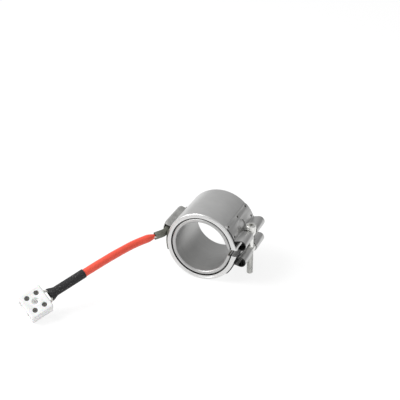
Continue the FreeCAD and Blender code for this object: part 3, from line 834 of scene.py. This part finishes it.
# ---- the clamp screw -----------------------------------------------------------------------------------
@dataclass
class ClampScrew:
    """Socket-head screw: knurled head, plain shank and a rolled thread on its lower part."""

    place_x: float = 38.8 * MM
    tip: float = -33.9 * MM
    underside: float = 11.1 * MM
    radius: float = 2.95 * MM
    root_radius: float = 2.42 * MM
    pitch: float = 1.0 * MM
    thread_length: float = 24.0 * MM
    head_radius: float = 5.0 * MM
    head_height: float = 6.0 * MM
    socket_reach: float = 2.887 * MM
    socket_depth: float = 3.0 * MM
    ridges: int = 36
    crest_share: float = 0.06
    point_height: float = 0.9
    groove_share: float = 0.965

    def make_thread(self) -> bmesh.types.BMesh:
        """Helical thread, cut off square at both ends."""
        turns = int(self.thread_length / self.pitch) + 2
        steps = 28
        shape = bmesh.new()
        flat = self.crest_share * self.pitch
        corners = [(self.root_radius, 0.0), (self.radius, 0.5 * self.pitch - flat),
                   (self.radius, 0.5 * self.pitch + flat), (self.root_radius, self.pitch)]
        verts = [shape.verts.new((radius, 0, height)) for radius, height in corners]
        edges = [shape.edges.new(pair) for pair in zip(verts, verts[1:])]
        bmesh.ops.spin(shape, geom=verts + edges, cent=(0, 0, 0), axis=(0, 0, 1),
                       dvec=(0, 0, self.pitch / steps), angle=FULL_TURN * turns, steps=steps * turns,
                       use_merge=False, use_duplicate=False)
        bmesh.ops.remove_doubles(shape, verts=shape.verts, dist=1e-6)
        bmesh.ops.translate(shape, verts=shape.verts, vec=(0, 0, self.tip - 1.5 * self.pitch))
        for height, outward in ((self.tip, -1), (self.tip + self.thread_length, 1)):
            cut = bmesh.ops.bisect_plane(shape, geom=shape.verts[:] + shape.edges[:] + shape.faces[:],
                                         plane_co=(0, 0, height), plane_no=(0, 0, outward), clear_outer=True)
            rim = [item for item in cut["geom_cut"] if isinstance(item, bmesh.types.BMEdge)]
            bmesh.ops.contextual_create(shape, geom=rim)
        for vert in shape.verts:
            above = (vert.co.z - self.tip) / MM
            if above < self.point_height:
                limit = self.root_radius + (self.radius - self.root_radius) * above / self.point_height
                reach = math.hypot(vert.co.x, vert.co.y)
                if reach > limit:
                    vert.co.x *= limit / reach
                    vert.co.y *= limit / reach
        bmesh.ops.recalc_face_normals(shape, faces=shape.faces)
        return shape

    def make_head(self) -> bmesh.types.BMesh:
        """Knurled head with a hexagon socket."""
        sides = self.ridges * 4
        top = self.underside + self.head_height
        shape = bmesh.new()
        levels = [(self.underside, 0.92, False), (self.underside + 0.35 * MM, 1.0, True),
                  (top - 0.75 * MM, 1.0, True), (top - 0.35 * MM, 0.965, False), (top, 0.90, False)]
        first = bmesh.ops.create_circle(shape, segments=sides, radius=1.0, cap_ends=True)["verts"]
        ring = list(first)
        for index, (height, share, knurled) in enumerate(levels):
            if index:
                ring = grown_ring(shape, ring)
            for number, vert in enumerate(ring):
                groove = self.groove_share if knurled and number % 4 in (0, 1) else 1.0
                angle = FULL_TURN * number / sides
                reach = self.head_radius * share * groove
                vert.co = (reach * math.cos(angle), reach * math.sin(angle), height)
        for height in (top, top - self.socket_depth):
            ring = grown_ring(shape, ring)
            for number, vert in enumerate(ring):
                angle = FULL_TURN * number / sides
                within = (angle % (FULL_TURN / 6)) - FULL_TURN / 12
                reach = self.socket_reach * math.cos(FULL_TURN / 12) / math.cos(within)
                vert.co = (reach * math.cos(angle), reach * math.sin(angle), height)
        shape.faces.new(ring)
        bmesh.ops.recalc_face_normals(shape, faces=shape.faces)
        return shape

    def make(self) -> bpy.types.Object:
        """Joins thread, shank and head into the screw."""
        shank_low = self.tip + self.thread_length - 0.4 * MM
        shank = lathe([(0, shank_low), (self.root_radius, shank_low), (self.radius, shank_low + 0.5 * MM),
                       (self.radius, self.underside + 0.2 * MM), (0, self.underside + 0.2 * MM)], 40)
        whole = joined((self.make_thread(), shank, self.make_head()))
        bmesh.ops.translate(whole, verts=whole.verts, vec=(self.place_x, 0, 0))
        return to_object("socket_screw", whole, ZINC, "clamp_screw_body", ["clamp_screw"])


# ---- the rest of the heater ----------------------------------------------------------------------------
@dataclass
class HeaterBand:
    """Case, sheath, lug straps, pins, exit box and what they cover."""

    weld_radius: float = 1.6 * MM
    strap_face: float = 34.7 * MM
    weld_depth: float = 0.45 * MM
    weld_rise: float = 0.02 * MM
    weld_flatness: float = 0.16
    welds: tuple = ((25.0, -22.5), (25.0, 22.5), (43.0, -22.5), (43.0, 22.5), (42.0, 0.0))

    def make_sheets(self) -> None:
        """Sheet pieces with their edges softened."""
        for node, finish, slot, width in (
                ("outer_case", CASE, "case_steel", 0.10), ("inner_sheath", SHEATH, "sheath_steel", 0.10),
                ("upper_lug_plate", LUG, "lug_steel", 0.16), ("lower_lug_plate", LUG, "lug_steel", 0.16),
                ("exit_box", BOX, "box_steel", 0.20), ("lead_saddle", FERRULE, "ferrule_steel", 0.16),
                ("lead_ferrule", FERRULE, "ferrule_steel", 0.14), ("head_pin", ZINC, "zinc_steel", 0.18),
                ("barrel_nut", ZINC, "zinc_steel", 0.18)):
            to_object(f"{node}_sheet", softened(node, width * MM), finish, ROOT_BODY, [node])

    def make_welds(self) -> None:
        """Burnt spots in the bottoms of the straps' weld dimples."""
        shape = bmesh.new()
        for sign in (1, -1):
            for angle, along in self.welds:
                spot = bmesh.ops.create_icosphere(shape, subdivisions=3, radius=self.weld_radius)["verts"]
                bmesh.ops.scale(shape, verts=spot, vec=(self.weld_flatness, 1.0, 1.0))
                turn = Matrix.Rotation(-math.radians(angle * sign), 4, "Y")
                place = turn @ Vector((self.strap_face - self.weld_depth + self.weld_rise, 0, 0))
                bmesh.ops.transform(shape, verts=spot,
                                    matrix=Matrix.Translation((place.x, along * MM, place.z)) @ turn)
        to_object("spot_welds", shape, WELD, ROOT_BODY)

    def make(self) -> None:
        """Builds and dresses the band's pieces."""
        self.make_sheets()
        self.make_welds()
        dress(["mica_inner", "mica_former", "mica_outer"], MICA)
        dress(["fibre_blanket"], FIBRE)
        dress(["heating_ribbon", "element_tab_1", "element_tab_2"], RIBBON)
        dress(["inner_wire_1", "inner_wire_2"], Mineral("inner_wire_cover", (0.7, 0.69, 0.65), 1500.0))


@dataclass
class TerminalBlock:
    """Two-pole ceramic block with its inserts and slotted screws."""

    edge: float = 0.35 * MM

    def make(self) -> list[bpy.types.Object]:
        """Builds the block's pieces and returns those that go with the lead."""
        body = to_object("ceramic_body", softened("terminal_body", self.edge, 3), CERAMIC,
                         ROOT_BODY, ["terminal_body"])
        dress(["terminal_insert_1", "terminal_insert_2"], BRASS)
        screws = [f"terminal_screw_{number}" for number in range(1, 5)]
        dress(screws, TERMINAL)
        nodes = [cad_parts[name] for name in ["terminal_insert_1", "terminal_insert_2", *screws]]
        return [body, *nodes]


def main() -> None:
    """Builds the studio, the lead and the heater in order."""
    studio = Studio()
    studio.make_camera()
    lead = SleevedLead()
    sleeve, path = lead.make_red_sleeve()
    black = lead.make_black_sleeve(BlockFrame())
    ends = lead.make_wire_ends()
    studio.make_floor()
    studio.make_light()
    HeaterBand().make()
    ClampScrew().make()
    on_lead = TerminalBlock().make()
    wires = ["lead_wire_1", "lead_wire_2"]
    dress(wires, WIRE_COVER)


if __name__ == "__main__":
    main()
